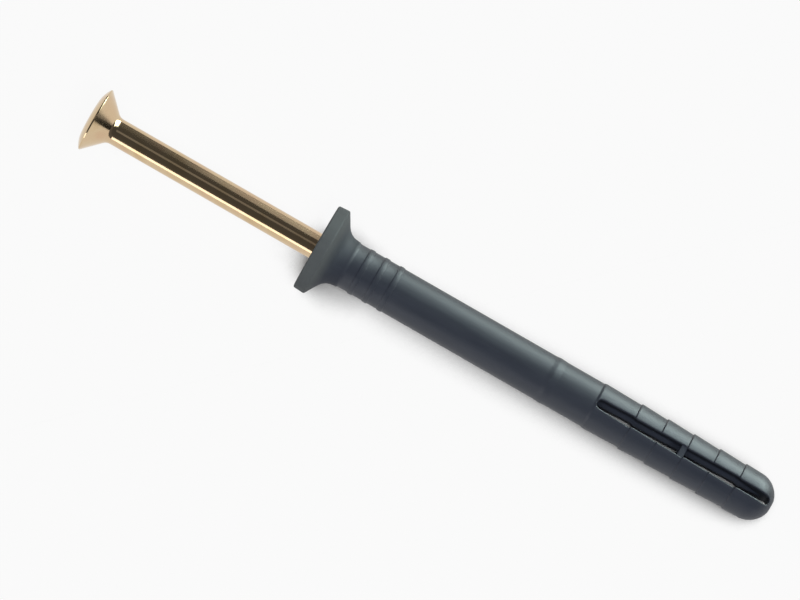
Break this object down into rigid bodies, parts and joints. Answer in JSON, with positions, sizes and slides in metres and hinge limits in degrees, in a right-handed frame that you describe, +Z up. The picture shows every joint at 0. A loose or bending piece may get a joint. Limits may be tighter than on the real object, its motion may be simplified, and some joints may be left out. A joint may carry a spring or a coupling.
{
  "type": "hammer fixing plug",
  "caption": "Flanged nylon hammer fixing plug with a slotted, barbed expansion end and its pre-assembled countersunk steel drive nail, which is driven in to spread the legs.",
  "frame": {"origin": "On the floor, under the middle of the box of the lying plug, as it comes to rest on its collar's rim and the lips of its slot", "axes": "+X along the plug towards its nose, which dips to the floor, +Z up, +Y to the left of the way to the nose; the slot lies in the XZ plane"},
  "size_m": [0.1198, 0.0144, 0.0144],
  "materials": {
    "nylon": "satin",
    "yellow_zinc_steel": "gloss"
  },
  "bodies": {
    "plug": {"plug_sleeve": "nylon"},
    "nail": {"drive_nail": "yellow_zinc_steel"}
  },
  "joints": [
    {"name": "nail_drive", "type": "slide", "parent": "plug", "child": "nail", "axis": [0.9989, 0, -0.0459], "range_m": [0, 0.0389]}
  ]
}
